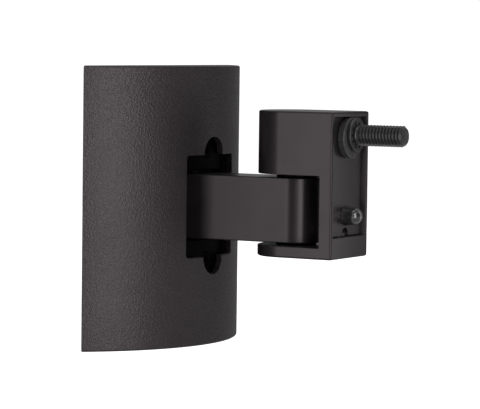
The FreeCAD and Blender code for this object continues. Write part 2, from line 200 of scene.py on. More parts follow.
class ArmSettings(bpy.types.PropertyGroup):
    """Sizes and finish of the cast block and arm."""
    edge_round: length("Arm edge round", "Rounding of the arm's upper and lower edges", 0.35)
    block_edge: length("Block edge round", "Rounding of the block's ends", 0.5)
    block_corner: length("Block corner", "Corner radius of the pivot block", 2.0)
    block_gap: length("Block gap", "Gap between the pivot block and the cover", 0.6)
    block_web: length("Block web", "Thickness of the block behind the arm", 1.2)
    jaw_play: length("Jaw play", "Play between a washer and its jaw", 0.05)
    lock_key: length("Lock key", "Width of the lock screws' sockets", 2.0)
    screw_radius: length("Screw radius", "Radius of the block's screws", 2.0)
    screw_head_radius: length("Screw head radius", "Radius of the block's screw heads", 3.8)
    pin_radius: length("Pin radius", "Radius of the wall pivot pin", 3.0)
    colour: shade("Colour", "Colour of the satin paint", (0.0130, 0.0112, 0.0116))
    # Painted shade: this near-black colour is about a tenth of the casting paint's. It darkens the pivot
    # block, its lock screws, the washers and the bushes, which lie in shadow.
    painted_shade_colour: shade("Shadowed colour", "Colour of the block's dull finish", (0.0014, 0.0012, 0.0012))


class HeadSettings(bpy.types.PropertyGroup):
    """Sizes and finish of the cast head."""
    edge_round: length("Edge round", "Rounding of the outer edges", 0.6)
    spine: length("Spine", "Thickness of the head in front of its notch", 4.0)
    notch_round: length("Notch round", "Radius of the notch's corners inside the head", 2.4)
    notch_mouth: length("Notch mouth", "Radius of the notch's corners at the head's sides", 0.4)
    rim: length("Rim", "Width of the rim beside the pocket", 1.7)
    rim_top: length("Top rim", "Height of the rim above the pocket", 1.5)
    pocket_flare: length("Pocket flare", "How far the pocket's sides slope outwards", 0.58)
    ledge: length("Ledge", "Height of the head's foot below its pocket", 6.1)
    arch_width: length("Arch width", "Width of the small arch in the front plate", 3.7)
    arch_height: length("Arch height", "Height of the small arch in the front plate", 2.4)
    pivot_radius: length("Pivot radius", "Radius of the head's pivot screw", 2.5)
    pivot_head_radius: length("Pivot head radius", "Radius of the pivot screw's head", 4.8)
    pivot_bite: length("Pivot bite", "Depth of the screw's hole in the upper jaw", 5.1)
    pivot_key: length("Pivot key", "Width of the pivot screw's socket", 3.0)
    bush_wall: length("Bush wall", "Thickness of the bushes in the arm", 1.3)
    plate_gap: length("Plate gap", "Seam between the front plate and its pocket", 0.1)
    colour: shade("Colour", "Colour of the satin paint", (0.0130, 0.0112, 0.0116))


class ScrewSettings(bpy.types.PropertyGroup):
    """Sizes and finish of the speaker screw, its spacer and the locating pin."""
    thread_radius: length("Thread radius", "Radius over the crests of the thread", 3.0)
    thread_depth: length("Thread depth", "Depth of the thread", 0.61)
    pitch: length("Pitch", "Distance from one crest to the next", 1.0)
    shank_radius: length("Shank radius", "Radius of the plain shank", 2.65)
    head_length: length("Head length", "Length of the screw's head", 6.0)
    chamfer: length("Chamfer", "Chamfer at the ends of the screw", 0.6)
    key: length("Key", "Width of the hex socket across its flats", 5.0)
    key_depth: length("Key depth", "Depth of the hex socket", 3.0)
    hole_radius: length("Hole radius", "Radius of the holes that the screw passes", 3.3)
    spacer_edge: length("Spacer edge", "Chamfer of the spacer's edges", 0.35)
    ring_wall: length("Ring wall", "Radial width of the tooth ring", 0.95)
    tooth_width: length("Tooth width", "Width of each tooth of the ring", 1.3)
    teeth: IntProperty(name="Teeth", description="Number of teeth of the push-on ring", default=10, min=3)
    pin_stem_radius: length("Pin stem radius", "Radius of the locating pin's stem", 1.5)
    pin_tip_radius: length("Pin tip radius", "Radius of the locating pin's dome", 2.4)
    steel: shade("Steel", "Colour of the blackened steel", (0.0145, 0.0138, 0.0138))
    # Painted light: the spacer's colour is the black steel made paler. It stands in for light that the
    # pocket's rim keeps off its sides.
    spacer: shade("Spacer", "Colour of the spacer", (0.034, 0.0335, 0.0330))
    nylon: shade("Nylon", "Colour of the glossy nylon pin", (0.0240, 0.0236, 0.0236))


class StudioSettings(bpy.types.PropertyGroup):
    """Camera, floor and lights."""
    lens: FloatProperty(name="Lens", description="Focal length of the camera in millimetres",
                        default=202.0, min=1.0)
    roll: FloatProperty(name="Roll", description="Turn of the camera about its own line of sight",
                        default=math.radians(0.715), subtype="ANGLE")
    camera: FloatVectorProperty(name="Camera", description="Place of the camera",
                                default=(0.4112, -0.6661, 0.0477), subtype="TRANSLATION")
    target: FloatVectorProperty(name="Target", description="Point that the camera looks at",
                                default=(0.02757, 0.0, 0.000612), subtype="TRANSLATION")
    floor_drop: FloatProperty(name="Floor drop", description="How far the floor lies below the arm",
                              default=0.45, min=0.05, unit="LENGTH")
    key_light: brightness("Key light", "panel on the left", 2.08)
    cover_light: brightness("Cover light", "panel on the right", 2.84)
    side_light: brightness("Side light", "panel beside the head", 0.85)
    pocket_light: brightness("Pocket light", "panel before the pocket", 0.6)
    top_light: brightness("Top light", "panel overhead", 0.8)
    backdrop: brightness("Backdrop", "white backdrop", 0.28)


def spread(start, end, steps):
    """Evenly spaced values, both ends included."""
    return [start + (end - start) * step / steps for step in range(steps + 1)]


def arc(across, up, radius, start, end, steps):
    """Points along an arc in a plane, from one angle to another."""
    return [(across + radius * math.cos(turn), up + radius * math.sin(turn))
            for turn in spread(start, end, steps)]


def soften(points, radius, steps=4, closed=False):
    """Round the corners of a line of straight runs."""
    softened = []
    last = len(points) - 1
    for place, point in enumerate(points):
        if not closed and place in (0, last):
            softened.append(tuple(point))
            continue
        corner = Vector(point)
        before = Vector(points[place - 1]) - corner
        after = Vector(points[(place + 1) % len(points)]) - corner
        opening = before.angle(after)
        shorter = min(before.length, after.length)
        reach = min(radius / math.tan(opening / 2), LARGEST_SHARE * shorter)
        centre = corner + (before.normalized() + after.normalized()).normalized() * (
            reach / math.cos(opening / 2))
        first = corner + before.normalized() * reach - centre
        final = corner + after.normalized() * reach - centre
        sweep = math.pi - opening
        for share in spread(0, 1, steps):
            arm = (first * math.sin((1 - share) * sweep) + final * math.sin(share * sweep)) / math.sin(sweep)
            softened.append(tuple(centre + arm))
    return softened


def rectangle(left, bottom, right, top):
    """Corners of a rectangle, from its lower left one."""
    return [(left, bottom), (right, bottom), (right, top), (left, top)]


def linked(name, data):
    """A new object in the scene."""
    made = bpy.data.objects.new(name, data)
    bpy.context.scene.collection.objects.link(made)
    return made


def solid(name, points, faces):
    """A linked object from points and faces, with its faces turned outwards."""
    mesh = bpy.data.meshes.new(name)
    mesh.from_pydata([tuple(point) for point in points], [], faces)
    work = bmesh.new()
    work.from_mesh(mesh)
    bmesh.ops.remove_doubles(work, verts=work.verts, dist=NEW_POINT_GAP)
    bmesh.ops.recalc_face_normals(work, faces=work.faces)
    work.to_mesh(mesh)
    work.free()
    return linked(name, mesh)


def skin(name, rings, hollow=False):
    """A solid through rings of as many points: capped at its ends, or joined end to end."""
    count = len(rings[0])
    points = [point for ring in rings for point in ring]
    faces = []
    if not hollow:
        faces.append(tuple(reversed(range(count))))
        faces.append(tuple(range(len(points) - count, len(points))))
    for level in range(len(rings) if hollow else len(rings) - 1):
        low = level * count
        high = (level + 1) % len(rings) * count
        for place in range(count):
            beside = (place + 1) % count
            faces.append((low + place, low + beside, high + beside, high + place))
    return solid(name, points, faces)


def circle(across, up, radius):
    """Points round a circle in a plane."""
    return [(across + radius * math.cos(FULL_TURN * step / ROUND_STEPS),
             up + radius * math.sin(FULL_TURN * step / ROUND_STEPS)) for step in range(ROUND_STEPS)]


def turned_x(name, profile, across, up, hollow=False):
    """A turned piece about an axis along X: its profile is (distance along, radius)."""
    rings = [[(along, y, z) for y, z in circle(across, up, radius)] for along, radius in profile]
    return skin(name, rings, hollow)


def turned_z(name, profile, place, hollow=False):
    """A turned piece about an upright axis: its profile is (height, radius)."""
    rings = [[(x, y, height) for x, y in circle(place.x, place.y, radius)] for height, radius in profile]
    return skin(name, rings, hollow)


def bore_x(radius, back, front, up, across=0.0):
    """Cutter for a plain hole along X."""
    return turned_x("bore", [(back, radius), (front, radius)], across, up)


def bore_z(radius, bottom, top, place):
    """Cutter for a plain upright hole."""
    return turned_z("bore", [(bottom, radius), (top, radius)], place)


def upright_prism(name, outline, low, high, edge=0.0, steps=6):
    """A prism from an outline that can be drawn in by an inset, with rounded ends."""
    turns = spread(0, QUARTER_TURN, steps) if edge else [QUARTER_TURN]
    insets = [edge * (1 - math.sin(turn)) for turn in turns]
    rises = [edge * (1 - math.cos(turn)) for turn in turns]
    levels = [(inset, low + rise) for inset, rise in zip(insets, rises)]
    levels += [(inset, high - rise) for inset, rise in reversed(list(zip(insets, rises)))]
    return skin(name, [[(x, y, level) for x, y in outline(inset)] for inset, level in levels])


def prism_x(name, outline, back, front):
    """A prism along X from an outline of (across, up) points."""
    return skin(name, [[(x, y, z) for y, z in outline] for x in (back, front)])


def prism_y(name, outline, left, right):
    """A prism along Y from an outline of (along, up) points."""
    return skin(name, [[(x, y, z) for x, z in outline] for y in (left, right)])


def box_solid(name, low, high):
    """A plain block between two corners, as a cutter."""
    return prism_x(name, rectangle(low[1], low[2], high[1], high[2]), low[0], high[0])


def settle(piece):
    """Turn a piece's modifiers into plain mesh."""
    bpy.context.view_layer.update()
    graph = bpy.context.evaluated_depsgraph_get()
    made = bpy.data.meshes.new_from_object(piece.evaluated_get(graph))
    old = piece.data
    piece.modifiers.clear()
    piece.data = made
    bpy.data.meshes.remove(old)


def carve(piece, cutters, operation="DIFFERENCE"):
    """Cut other solids from a piece, or join them to it, and remove them."""
    for cutter in cutters:
        step = piece.modifiers.new("Carve", "BOOLEAN")
        step.operation = operation
        step.solver = "EXACT"
        step.object = cutter
    settle(piece)
    for cutter in cutters:
        mesh = cutter.data
        bpy.data.objects.remove(cutter)
        bpy.data.meshes.remove(mesh)


def join(piece, others):
    """Take other solids into a piece as they are."""
    work = bmesh.new()
    work.from_mesh(piece.data)
    for other in others:
        work.from_mesh(other.data)
        mesh = other.data
        bpy.data.objects.remove(other)
        bpy.data.meshes.remove(mesh)
    work.to_mesh(piece.data)
    work.free()


def ease_edges(piece, width, segments=3, angle=SHARP_ANGLE, chosen=None):
    """Round a piece's sharp edges a little, or only the chosen ones, and shade it smooth."""
    work = bmesh.new()
    work.from_mesh(piece.data)
    bmesh.ops.remove_doubles(work, verts=work.verts, dist=CUT_POINT_GAP)
    bmesh.ops.dissolve_degenerate(work, edges=work.edges, dist=CUT_POINT_GAP)
    if chosen:
        weight = work.edges.layers.float.new("bevel_weight_edge")
        for edge in work.edges:
            if edge.calc_face_angle(0.0) > angle:
                picked = chosen((edge.verts[0].co + edge.verts[1].co) / 2)
                edge[weight] = float(picked)
                edge.smooth = picked
    work.to_mesh(piece.data)
    work.free()
    for face in piece.data.polygons:
        face.use_smooth = True
    if width:
        bevel = piece.modifiers.new("Edges", "BEVEL")
        bevel.width = width
        bevel.segments = segments
        bevel.limit_method = "WEIGHT" if chosen else "ANGLE"
        bevel.angle_limit = angle
        bevel.use_clamp_overlap = False
        bevel.miter_outer = "MITER_ARC"
    shading = piece.modifiers.new("Shading", "WEIGHTED_NORMAL")
    shading.keep_sharp = True
    shading.weight = 80
    settle(piece)


def smooth_turned(piece, angle=SHARP_ANGLE):
    """Shade a turned piece smooth, and keep its true corners sharp."""
    piece.data.shade_smooth()
    piece.data.set_sharp_from_angle(angle=angle)


def dress(piece, body, node, finish):
    """Give a piece its finish, let it ride on its body and stand for its node."""
    piece.data.materials.clear()
    piece.data.materials.append(finish)
    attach(piece, body)
    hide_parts(node)
    return piece


def hexagon(across, up, flats):
    """Outline of a hex socket."""
    return arc(across, up, flats / math.sqrt(3), 0, FULL_TURN * 5 / 6, 5)


def round_box(node):
    """Box of a round node from the frame: both corners, its radius and its middle height."""
    low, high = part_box(node)
    return low, high, (high.y - low.y) / 2, (low.z + high.z) / 2


# Finishes

class Tree:
    """A node tree with short ways to add and join nodes."""

    def __init__(self, nodes, links):
        self.nodes = nodes
        self.links = links

    def join(self, value, socket):
        """Feed a socket from another node's output, or set its value."""
        if isinstance(value, bpy.types.NodeSocket):
            self.links.new(value, socket)
        else:
            socket.default_value = value

    def put(self, kind, settings=None, **inputs):
        """Add a node; its inputs are named, or numbered as in _0."""
        made = self.nodes.new(kind)
        for label, value in (settings or {}).items():
            setattr(made, label, value)
        for label, value in inputs.items():
            place = int(label[1:]) if label[0] == "_" else label.replace("_", " ")
            self.join(value, made.inputs[place])
        return made

    def math(self, operation, first, second=0.0):
        """One operation on two values."""
        return self.put("ShaderNodeMath", {"operation": operation}, _0=first, _1=second).outputs[0]

    def noise(self, vector, scale, detail=2.0, roughness=0.5):
        """Smooth noise from 0 to 1."""
        return self.put("ShaderNodeTexNoise", Vector=vector, Scale=scale, Detail=detail,
                        Roughness=roughness).outputs["Fac"]

    def remap(self, value, low, high, to_low=0.0, to_high=1.0):
        """A value moved from one range to another and kept in it."""
        made = self.put("ShaderNodeMapRange", {"interpolation_type": "SMOOTHSTEP"}, Value=value)
        for place, number in enumerate((low, high, to_low, to_high), 1):
            made.inputs[place].default_value = number
        return made.outputs[0]

    def blend(self, share, first, second):
        """A colour between two colours."""
        made = self.put("ShaderNodeMix", {"data_type": "RGBA"}, _0=share)
        for place, value in ((6, first), (7, second)):
            if not isinstance(value, bpy.types.NodeSocket):
                value = (*value, 1.0)
            self.join(value, made.inputs[place])
        return made.outputs[2]


def new_effect(name, gives, **takes):
    """An empty node group that takes a place and named numbers, and gives named numbers."""
    group = bpy.data.node_groups.new(name, "ShaderNodeTree")
    group.interface.new_socket("Place", in_out="INPUT", socket_type="NodeSocketVector")
    for label, value in takes.items():
        socket = group.interface.new_socket(label, in_out="INPUT", socket_type="NodeSocketFloat")
        socket.default_value = value
    for label in gives:
        group.interface.new_socket(label, in_out="OUTPUT", socket_type="NodeSocketFloat")
    tree = Tree(group.nodes, group.links)
    entry = group.nodes.new("NodeGroupInput")
    leave = group.nodes.new("NodeGroupOutput")
    return group, tree, entry.outputs, leave.inputs


def leather_grain_and_hollow_shade():
    """Pebbled grain of a moulded cover, with painted shade in its hollows and a soft uneven tone."""
    group, tree, takes, gives = new_effect("Leather grain and hollow shade", ("Height", "Tone"), Scale=900.0)
    drift = tree.put("ShaderNodeTexNoise", Vector=takes["Place"], Scale=700.0, Detail=3.0)
    shift = tree.put("ShaderNodeVectorMath", {"operation": "SCALE"}, _0=drift.outputs["Color"])
    shift.inputs["Scale"].default_value = 0.0009
    place = tree.put("ShaderNodeVectorMath", {"operation": "ADD"}, _0=takes["Place"], _1=shift.outputs[0])
    pebbles = tree.put("ShaderNodeTexVoronoi", {"feature": "SMOOTH_F1"}, Vector=place.outputs[0],
                       Scale=takes["Scale"], Smoothness=0.55)
    fine_scale = tree.math("MULTIPLY", takes["Scale"], 2.3)
    wrinkles = tree.put("ShaderNodeTexNoise", Vector=place.outputs[0], Scale=fine_scale, Detail=4.0,
                        Roughness=0.6)
    mound = tree.remap(pebbles.outputs["Distance"], 0.05, 0.75, 1.0, 0.0)
    part = tree.math("MULTIPLY", wrinkles.outputs["Fac"], 0.45)
    height = tree.math("ADD", mound, part)
    tree.links.new(height, gives["Height"])
    broad = tree.noise(takes["Place"], 60.0, 3.0)
    # Painted shade: the hollows between the pebbles are made darker than their tops.
    hollow = tree.remap(mound, 0.1, 0.8, 0.82, 1.1)
    cloud = tree.remap(broad, 0.3, 0.7, 0.93, 1.07)
    tree.links.new(tree.math("MULTIPLY", hollow, cloud), gives["Tone"])
    return group


def paint_skin():
    """Fine orange peel and faint handling marks of a satin paint."""
    group, tree, takes, gives = new_effect("Paint skin", ("Height", "Smudge", "Speck"))
    peel = tree.noise(takes["Place"], 1500.0, 2.0)
    pore = tree.noise(takes["Place"], 5200.0, 2.0)
    tree.links.new(tree.math("ADD", peel, tree.math("MULTIPLY", pore, 0.5)), gives["Height"])
    smear = tree.noise(takes["Place"], 95.0, 4.0, 0.6)
    tree.links.new(tree.remap(smear, 0.35, 0.7), gives["Smudge"])
    speck = tree.put("ShaderNodeTexVoronoi", Vector=takes["Place"], Scale=2600.0)
    tree.links.new(tree.remap(speck.outputs["Distance"], 0.02, 0.16, 1.0, 0.0), gives["Speck"])
    return group


def edge_wear():
    """Slightly polished edges, broken up by noise."""
    group, tree, takes, gives = new_effect("Edge wear", ("Wear",), Amount=0.5)
    sharp = tree.put("ShaderNodeNewGeometry").outputs["Pointiness"]
    edge = tree.remap(sharp, 0.53, 0.62)
    broken = tree.remap(tree.noise(takes["Place"], 420.0, 4.0, 0.65), 0.35, 0.65)
    tree.links.new(tree.math("MULTIPLY", tree.math("MULTIPLY", edge, broken), takes["Amount"]), gives["Wear"])
    return group


def settled_dust():
    """A trace of dust on the faces that look up."""
    group, tree, takes, gives = new_effect("Settled dust", ("Dust",), Amount=0.1)
    face = tree.put("ShaderNodeNewGeometry").outputs["Normal"]
    upward = tree.put("ShaderNodeSeparateXYZ", Vector=face).outputs["Z"]
    flat = tree.remap(upward, 0.55, 0.95)
    motes = tree.remap(tree.noise(takes["Place"], 900.0, 5.0, 0.7), 0.45, 0.75)
    tree.links.new(tree.math("MULTIPLY", tree.math("MULTIPLY", flat, motes), takes["Amount"]), gives["Dust"])
    return group


def turning_marks():
    """Fine rings that a lathe leaves, and the rolled sheen between them."""
    group, tree, takes, gives = new_effect("Turning marks", ("Height", "Tone"))
    parts = tree.put("ShaderNodeSeparateXYZ", Vector=takes["Place"]).outputs
    line = tree.put("ShaderNodeCombineXYZ", X=parts["X"]).outputs[0]
    rings = tree.noise(line, 9000.0, 3.0, 0.7)
    tree.links.new(rings, gives["Height"])
    patch = tree.noise(takes["Place"], 700.0, 3.0, 0.6)
    tree.links.new(tree.remap(patch, 0.3, 0.7, 0.8, 1.25), gives["Tone"])
    return group


def effect(name, maker):
    """A shared effect, made once."""
    return bpy.data.node_groups.get(name) or maker()


class Finish:
    """A material around one Principled shader, with its object coordinates."""

    def __init__(self, name):
        self.material = bpy.data.materials.new(name)
        self.material.use_nodes = True
        nodes = self.material.node_tree.nodes
        self.tree = Tree(nodes, self.material.node_tree.links)
        self.shader = nodes["Principled BSDF"]
        self.place = self.tree.put("ShaderNodeTexCoord").outputs["Object"]

    def group(self, name, maker, **values):
        """Place a shared effect with its own values."""
        shared = {"node_tree": effect(name, maker)}
        return self.tree.put("ShaderNodeGroup", shared, Place=self.place, **values).outputs

    def feed(self, **sockets):
        """Set or join the shader's sockets."""
        for label, value in sockets.items():
            self.tree.join(value, self.shader.inputs[label.replace("_", " ")])

    def bump(self, height, depth):
        """Relief of a given depth."""
        made = self.tree.put("ShaderNodeBump", Height=height, Distance=depth, Strength=1.0)
        self.tree.links.new(made.outputs["Normal"], self.shader.inputs["Normal"])


def lighter(colour, times):
    """A colour made lighter or darker."""
    return tuple(min(part * times, 1.0) for part in colour)


def cover_plastic(name, settings):
    """Near-black moulded plastic with a leather grain, with painted shade in the grain's hollows."""
    finish = Finish(name)
    grain = finish.group("Leather grain and hollow shade", leather_grain_and_hollow_shade, Scale=1.0 / settings.grain_size)
    dust = finish.group("Settled dust", settled_dust, Amount=0.10)["Dust"]
    tree = finish.tree
    # The grain's tone is partly painted shade, darker in the hollows, and partly random uneven tone.
    tone = tree.remap(grain["Tone"], 0.75, 1.18)
    base = tree.blend(tone, lighter(settings.colour, 0.72), lighter(settings.colour, 1.25))
    finish.feed(Base_Color=tree.blend(dust, base, COVER_DUST),
                Roughness=tree.remap(grain["Tone"], 0.75, 1.18, 0.50, 0.43),
                Specular_IOR_Level=0.9, Specular_Tint=WARM_SHEEN)
    finish.bump(grain["Height"], settings.grain_depth)
    return finish.material


def satin_paint(name, colour, dull=0.28):
    """Near-black satin paint on a metal casting."""
    finish = Finish(name)
    skin_of = finish.group("Paint skin", paint_skin)
    wear = finish.group("Edge wear", edge_wear, Amount=0.35)["Wear"]
    dust = finish.group("Settled dust", settled_dust, Amount=0.06)["Dust"]
    tree = finish.tree
    base = tree.blend(skin_of["Smudge"], lighter(colour, 0.9), lighter(colour, 1.15))
    worn = tree.blend(wear, base, lighter(colour, 3.0))
    rough = tree.remap(skin_of["Smudge"], 0.0, 1.0, dull, dull + 0.04)
    finish.feed(Base_Color=tree.blend(dust, worn, PAINT_DUST),
                Roughness=tree.math("ADD", rough, tree.math("MULTIPLY", skin_of["Speck"], 0.05)),
                Specular_IOR_Level=0.46, Specular_Tint=WARM_SHEEN)
    finish.bump(skin_of["Height"], PAINT_RELIEF)
    return finish.material


def painted_shade_finish(name, colour):
    """Painted shade: a near-black, dull finish that hardly reflects, for the pieces that lie in shadow."""
    finish = Finish(name)
    skin_of = finish.group("Paint skin", paint_skin)
    tree = finish.tree
    # Painted shade: the colour stays near black, and the low specular keeps these shaded pieces from
    # reflecting.
    finish.feed(Base_Color=tree.blend(skin_of["Smudge"], lighter(colour, 0.8), lighter(colour, 1.3)),
                Roughness=tree.remap(skin_of["Smudge"], 0.0, 1.0, 0.42, 0.52),
                Specular_IOR_Level=0.03)
    finish.bump(skin_of["Height"], PAINT_RELIEF)
    return finish.material


def zinc_plate(name, colour):
    """Zinc-plated pressed steel with rolling streaks."""
    finish = Finish(name)
    wear = finish.group("Edge wear", edge_wear, Amount=0.6)["Wear"]
    skin_of = finish.group("Paint skin", paint_skin)
    tree = finish.tree
    parts = tree.put("ShaderNodeSeparateXYZ", Vector=finish.place).outputs
    along = tree.put("ShaderNodeCombineXYZ", X=parts["X"], Y=tree.math("MULTIPLY", parts["Y"], 0.03),
                     Z=parts["Z"]).outputs[0]
    streak = tree.noise(along, 1800.0, 4.0, 0.6)
    base = tree.blend(tree.remap(streak, 0.3, 0.7), lighter(colour, 0.8), lighter(colour, 1.15))
    finish.feed(Base_Color=tree.blend(wear, base, lighter(colour, 1.6)),
                Metallic=1.0,
                Roughness=tree.remap(skin_of["Smudge"], 0.0, 1.0, 0.32, 0.48))
    finish.bump(streak, PAINT_RELIEF)
    return finish.material


def black_steel(name, colour, rough=0.3):
    """Turned steel with a black oxide finish and a trace of oil, duller on its faced ends."""
    finish = Finish(name)
    marks = finish.group("Turning marks", turning_marks)
    wear = finish.group("Edge wear", edge_wear, Amount=0.5)["Wear"]
    tree = finish.tree
    face = tree.put("ShaderNodeTexCoord").outputs["Normal"]
    along = tree.math("ABSOLUTE", tree.put("ShaderNodeSeparateXYZ", Vector=face).outputs["X"])
    faced = tree.remap(along, 0.9, 0.99, 0.0, 0.5)
    turned = tree.remap(marks["Tone"], 0.8, 1.25, rough + 0.08, rough)
    base = tree.blend(tree.remap(marks["Tone"], 0.8, 1.25), lighter(colour, 0.8), lighter(colour, 1.3))
    finish.feed(Base_Color=tree.blend(wear, base, lighter(colour, 4.0)),
                Metallic=tree.remap(marks["Tone"], 0.8, 1.25, 0.0, 0.08),
                Specular_IOR_Level=0.75,
                Roughness=tree.math("ADD", turned, faced),
                Coat_Weight=tree.remap(faced, 0.0, 0.3, 0.22, 0.0))
    finish.bump(marks["Height"], 0.003 * MM)
    return finish.material


def glossy_nylon(name, colour, rough=0.14):
    """Glossy black nylon with faint flow marks."""
    finish = Finish(name)
    skin_of = finish.group("Paint skin", paint_skin)
    tree = finish.tree
    flow = tree.noise(finish.place, 260.0, 3.0, 0.55)
    base = tree.blend(tree.remap(flow, 0.3, 0.7), lighter(colour, 0.85), lighter(colour, 1.2))
    finish.feed(Base_Color=base,
                Roughness=tree.remap(skin_of["Smudge"], 0.0, 1.0, rough - 0.03, rough + 0.05),
                Specular_IOR_Level=0.8, Coat_Weight=1.0)
    finish.bump(skin_of["Height"], 0.002 * MM)
    return finish.material


def finish_once(name, maker, *values):
    """A finish that several pieces share, made once."""
    return bpy.data.materials.get(name) or maker(name, *values)


def arm_paint():
    """Paint of the arm."""
    return finish_once("Arm paint", satin_paint, bpy.context.scene.bracket_arm.colour)


def head_paint():
    """Paint of the head."""
    return finish_once("Head paint", satin_paint, bpy.context.scene.bracket_head.colour)


def plate_paint():
    """Duller paint of the plate in the head's pocket."""
    return finish_once("Pocket paint", satin_paint, bpy.context.scene.bracket_head.colour, 0.32)


def block_painted_shade():
    """Painted shade: the near-black dull finish of the pivot block, its lock screws, the washers and the
    bushes, which lie in shadow.
    """
    return finish_once("Block paint", painted_shade_finish, bpy.context.scene.bracket_arm.painted_shade_colour)


def oiled_steel():
    """Black steel of the screws, the tooth ring and the inner pieces."""
    return finish_once("Black steel", black_steel, bpy.context.scene.bracket_screw.steel)


def spacer_steel_painted_light():
    """Painted light: a paler, duller copy of the black steel for the spacer behind the tooth ring, standing
    in for light that the rim keeps off it.
    """
    return finish_once("Spacer steel", black_steel, bpy.context.scene.bracket_screw.spacer, 0.42)


# Pieces

def bowed_outline(radius, centre_x, back):
    """Outline of a shallow bow from a straight back, which can be drawn in."""
    def outline(inset):
        reach = radius - inset
        half = math.acos((back - centre_x) / reach)
        return arc(centre_x, 0.0, reach, -half, half, ROUND_STEPS)
    return outline


def window_outline(settings):
    """Outline of the window with a half-round lobe above and below."""
    half_height = settings.window_height / 2
    corner = settings.window_corner
    inner_width = settings.window_width / 2 - corner
    inner_height = half_height - corner
    lobe = settings.lobe_radius
    outline = arc(inner_width, inner_height, corner, 0, QUARTER_TURN, CORNER_STEPS)
    outline += arc(0.0, half_height, lobe, 0, math.pi, LOBE_STEPS)
    outline += arc(-inner_width, inner_height, corner, QUARTER_TURN, math.pi, CORNER_STEPS)
    outline += arc(-inner_width, -inner_height, corner, math.pi, 3 * QUARTER_TURN, CORNER_STEPS)
    outline += arc(0.0, -half_height, lobe, math.pi, FULL_TURN, LOBE_STEPS)
    outline += arc(inner_width, -inner_height, corner, 3 * QUARTER_TURN, FULL_TURN, CORNER_STEPS)
    return outline


def cover_bow():
    """Radius and centre of the cover's outer bow, from the frame."""
    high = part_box("wall_cover")[1]
    radius = (high.y ** 2 + high.x ** 2) / (2 * high.x)
    return radius, high.x - radius


def cover_ribs(settings, half_height):
    """Upright ribs inside the bow."""
    radius, centre_x = cover_bow()
    outer = bowed_outline(radius - settings.wall / 2, centre_x, 0.0)
    inner = bowed_outline(radius - settings.wall - settings.rib_depth, centre_x, -CUT_PAST)
    top = half_height - settings.wall / 2
    half_rib = settings.rib_thickness / 2
    ribs = []
    for middle in (-settings.rib_place, settings.rib_place):
        rib = upright_prism("rib", outer, -top, top)
        carve(rib, [upright_prism("hollow", inner, -half_height, half_height)])
        strip = box_solid("strip", (0.0, middle - half_rib, -half_height),
                          (radius, middle + half_rib, half_height))
        carve(rib, [strip], "INTERSECT")
        ribs.append(rib)
    return ribs


def snap_hooks(settings, half_height):
    """Hooks inside the cover's ends, which snap behind the plate's lips."""
    back = bpy.context.scene.bracket_plate.lip_step - settings.hook_play
    front = back - settings.hook_thickness
    half_hook = settings.hook_width / 2
    hooks = []
    for end in (-1, 1):
        root = end * (half_height - settings.wall / 2)
        tip = end * (half_height - settings.wall - settings.hook_reach)
        lead = tip + end * settings.hook_lead
        side_view = [(front, root), (back, root), (back, tip), ((front + back) / 2, tip), (front, lead)]
        for middle in (-settings.hook_place, settings.hook_place):
            hooks.append(prism_y("hook", side_view, middle - half_hook, middle + half_hook))
    return hooks


def make_cover(settings):
    """The bowed wall cover."""
    radius, centre_x = cover_bow()
    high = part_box("wall_cover")[1]
    inner_height = high.z - settings.wall
    cover = upright_prism("cover_shell", bowed_outline(radius, centre_x, 0.0), -high.z, high.z,
                          settings.edge_round, 8)
    inside = upright_prism("inside", bowed_outline(radius - settings.wall, centre_x, -2 * CUT_PAST),
                           -inner_height, inner_height)
    carve(cover, [inside])
    carve(cover, cover_ribs(settings, high.z) + snap_hooks(settings, high.z), "UNION")
    carve(cover, [prism_x("window", window_outline(settings), WIDE_CUT, high.x + CUT_PAST)])

    def beside_window(point):
        return abs(point.y) < settings.window_width / 2 + CUT_PAST and point.x > WIDE_CUT

    ease_edges(cover, COVER_BREAK, chosen=beside_window)
    return dress(cover, "wall", "wall_cover",
                 finish_once("Cover plastic", cover_plastic, settings))


def plate_lips(settings, flat, top):
    """The lips above and below the flat plate, which stand off the wall."""
    rise = [(0.0, flat), (settings.lip_step, top - settings.lip_height), (settings.lip_step, top)]
    side_view = rise + [(x + settings.thickness, z) for x, z in reversed(rise)]
    side_view += [(x, -z) for x, z in reversed(side_view)]
    half = settings.lip_width / 2
    return prism_y("lips", side_view, -half, half)


def plate_holes(settings):
    """Cutters for the wall screws' holes and the countersunk holes of the block's screws."""
    past = settings.thickness + CUT_PAST
    half_across = settings.wall_hole_across / 2
    half_up = settings.wall_hole_up / 2
    holes = []
    for across in (-half_across, half_across):
        for up in (-half_up, half_up):
            holes.append(bore_x(settings.wall_hole_radius, -CUT_PAST, past, up, across))
    arm = bpy.context.scene.bracket_arm
    wide = arm.screw_head_radius + SCREW_PLAY
    narrow = arm.screw_radius + SCREW_PLAY
    for level in block_screw_levels():
        profile = [(-CUT_PAST, wide), (0.0, wide), (wide - narrow, narrow), (past, narrow)]
        holes.append(turned_x("bore", profile, 0.0, level))
    return holes


def make_plate(settings):
    """The pressed steel plate with its raised lips and its holes."""
    low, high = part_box("wall_plate")
    flat = high.z - settings.lip_height - settings.lip_step
    face = soften(rectangle(low.y, -flat, high.y, flat), settings.corner, 8, closed=True)
    plate = prism_x("back_plate", face, 0.0, settings.thickness)
    carve(plate, [plate_lips(settings, flat, high.z)], "UNION")
    carve(plate, plate_holes(settings))
    ease_edges(plate, PLATE_BREAK, 2)
    return dress(plate, "wall", "wall_plate",
                 finish_once("Plate zinc", zinc_plate, settings.colour))


def screw_levels(node, radius):
    """Heights of a pair of screws, one above the other, from the frame."""
    low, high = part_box(node)
    return (low.z + radius, high.z - radius)


def block_screw_levels():
    """Heights of the two screws that hold the pivot block."""
    return screw_levels("block_screws", bpy.context.scene.bracket_arm.screw_head_radius)


